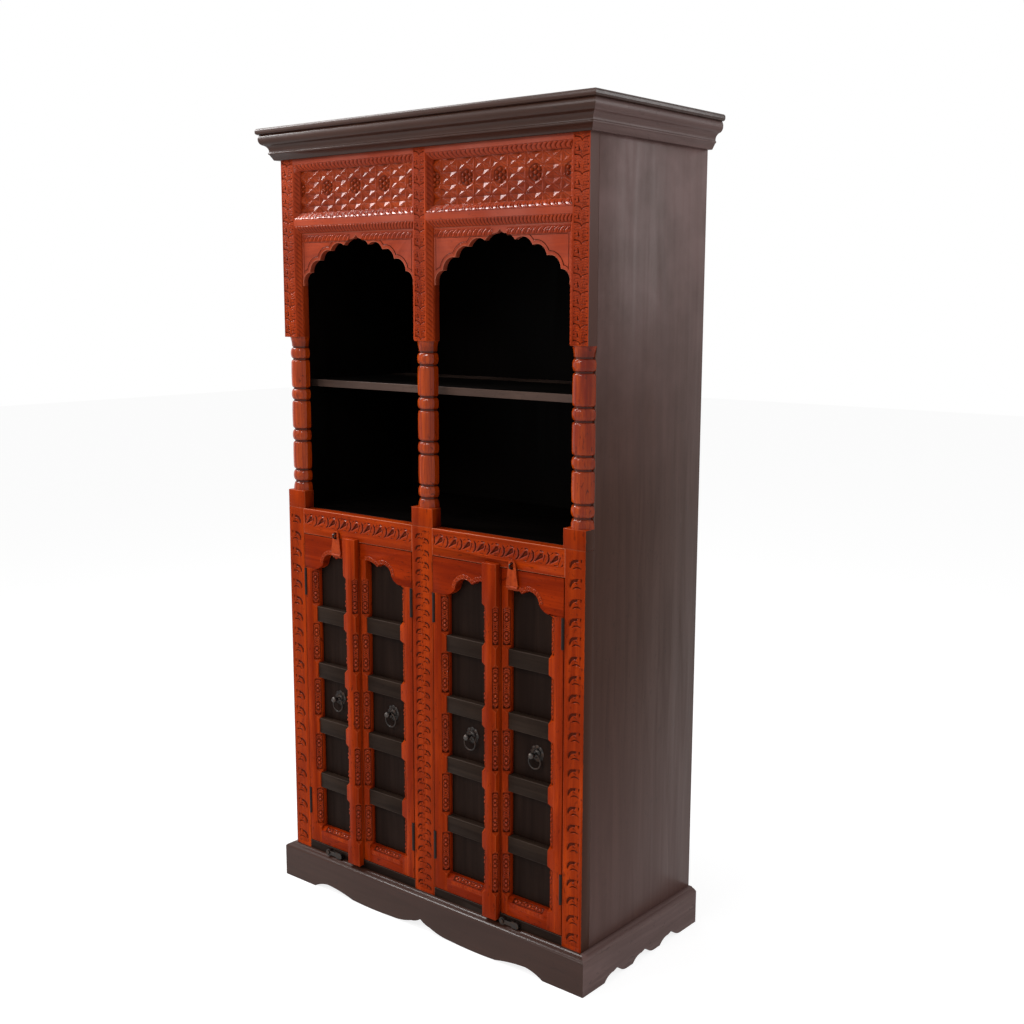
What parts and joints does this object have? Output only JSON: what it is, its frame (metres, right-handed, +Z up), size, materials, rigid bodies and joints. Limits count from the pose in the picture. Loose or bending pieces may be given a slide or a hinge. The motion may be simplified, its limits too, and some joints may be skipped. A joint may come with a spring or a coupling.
{
  "type": "carved cabinet",
  "caption": "Tall wooden cabinet with open arched bays behind turned columns over panelled double doors, carved all over its front, on a shaped plinth under a moulded cornice.",
  "frame": {"origin": "on the floor under the middle of the overall box", "axes": "+X along the front to the right as one faces it, +Y from the front to the back, +Z up"},
  "size_m": [1.016, 0.483, 1.905],
  "materials": {
    "carved_wood": "red-brown stain and dark wax rubbed off the high points",
    "dark_stain": "near-black brown stain, satin",
    "panel_wood": "dark stained flat panels, matt",
    "side_paint": "smooth dark brown stain, satin, faint upright grain",
    "shelf_wood": "dark stained, waxed",
    "back_board": "dark stained board, matt",
    "black_iron": "blackened forged iron, worn at the edges"
  },
  "bodies": {
    "cabinet": {"side_panel_left": "side_paint", "side_panel_right": "side_paint", "back_panel": "back_board", "top_board": "dark_stain", "cornice_front": "dark_stain", "cornice_returns": "dark_stain", "plinth_front": "dark_stain", "plinth_returns": "dark_stain", "deck_board": "shelf_wood", "bottom_board": "shelf_wood", "upper_shelf": "shelf_wood", "lower_shelf": "shelf_wood", "shelf_cleats": "shelf_wood", "upper_post_left": "carved_wood", "upper_post_centre": "carved_wood", "upper_post_right": "carved_wood", "lower_post_left": "carved_wood", "lower_post_centre": "carved_wood", "lower_post_right": "carved_wood", "frieze_rails": "carved_wood", "lattice_panels": "carved_wood", "arch_boards": "carved_wood", "head_rails": "carved_wood", "threshold_rails": "dark_stain", "fixed_hinge_leaves": "black_iron", "staples_and_pins": "black_iron"},
    "left_outer_door": {"left_outer_stiles": "carved_wood", "left_outer_end_rails": "carved_wood", "left_outer_cross_rails": "dark_stain", "left_outer_panels": "panel_wood", "left_outer_ironwork": "black_iron", "left_outer_pull_plate": "black_iron", "left_outer_batten": "carved_wood"},
    "left_outer_ring": {"left_outer_pull_ring": "black_iron"},
    "left_inner_door": {"left_inner_stiles": "carved_wood", "left_inner_end_rails": "carved_wood", "left_inner_cross_rails": "dark_stain", "left_inner_panels": "panel_wood", "left_inner_ironwork": "black_iron", "left_inner_pull_plate": "black_iron"},
    "left_inner_ring": {"left_inner_pull_ring": "black_iron"},
    "right_inner_door": {"right_inner_stiles": "carved_wood", "right_inner_end_rails": "carved_wood", "right_inner_cross_rails": "dark_stain", "right_inner_panels": "panel_wood", "right_inner_ironwork": "black_iron", "right_inner_pull_plate": "black_iron", "right_inner_batten": "carved_wood"},
    "right_inner_ring": {"right_inner_pull_ring": "black_iron"},
    "right_outer_door": {"right_outer_stiles": "carved_wood", "right_outer_end_rails": "carved_wood", "right_outer_cross_rails": "dark_stain", "right_outer_panels": "panel_wood", "right_outer_ironwork": "black_iron", "right_outer_pull_plate": "black_iron"},
    "right_outer_ring": {"right_outer_pull_ring": "black_iron"},
    "left_hasp_strap": {"left_hasp": "black_iron"},
    "right_hasp_strap": {"right_hasp": "black_iron"},
    "left_turn": {"left_turn_button": "black_iron"},
    "right_turn": {"right_turn_button": "black_iron"}
  },
  "joints": [
    {"name": "left_outer_hinge", "type": "hinge", "parent": "cabinet", "child": "left_outer_door", "pos_m": [-0.4075, -0.1994, 0.51], "axis": [0, 0, -1], "range_deg": [0, 110]},
    {"name": "left_outer_ring_swing", "type": "hinge", "parent": "left_outer_door", "child": "left_outer_ring", "pos_m": [-0.31138, -0.1874, 0.50744], "axis": [-1, 0, 0], "range_deg": [0, 85]},
    {"name": "left_inner_hinge", "type": "hinge", "parent": "cabinet", "child": "left_inner_door", "pos_m": [-0.04, -0.1994, 0.51], "axis": [0, 0, 1], "range_deg": [0, 90]},
    {"name": "left_inner_ring_swing", "type": "hinge", "parent": "left_inner_door", "child": "left_inner_ring", "pos_m": [-0.12437, -0.1874, 0.50744], "axis": [-1, 0, 0], "range_deg": [0, 85]},
    {"name": "right_inner_hinge", "type": "hinge", "parent": "cabinet", "child": "right_inner_door", "pos_m": [0.032, -0.1994, 0.51], "axis": [0, 0, -1], "range_deg": [0, 90]},
    {"name": "right_inner_ring_swing", "type": "hinge", "parent": "right_inner_door", "child": "right_inner_ring", "pos_m": [0.13212, -0.1874, 0.50744], "axis": [-1, 0, 0], "range_deg": [0, 85]},
    {"name": "right_outer_hinge", "type": "hinge", "parent": "cabinet", "child": "right_outer_door", "pos_m": [0.4075, -0.1994, 0.51], "axis": [0, 0, 1], "range_deg": [0, 110]},
    {"name": "right_outer_ring_swing", "type": "hinge", "parent": "right_outer_door", "child": "right_outer_ring", "pos_m": [0.32312, -0.1874, 0.50744], "axis": [-1, 0, 0], "range_deg": [0, 85]},
    {"name": "left_hasp_hinge", "type": "hinge", "parent": "left_outer_door", "child": "left_hasp_strap", "pos_m": [-0.28975, -0.2034, 0.881], "axis": [1, 0, 0], "range_deg": [0, 150]},
    {"name": "right_hasp_hinge", "type": "hinge", "parent": "right_outer_door", "child": "right_hasp_strap", "pos_m": [0.27025, -0.2034, 0.881], "axis": [1, 0, 0], "range_deg": [0, 150]},
    {"name": "left_turn_pivot", "type": "hinge", "parent": "cabinet", "child": "left_turn", "pos_m": [-0.33475, -0.1999, 0.098], "axis": [0, -1, 0], "range_deg": [0, 90]},
    {"name": "right_turn_pivot", "type": "hinge", "parent": "cabinet", "child": "right_turn", "pos_m": [0.2475, -0.1999, 0.098], "axis": [0, -1, 0], "range_deg": [0, 90]}
  ]
}
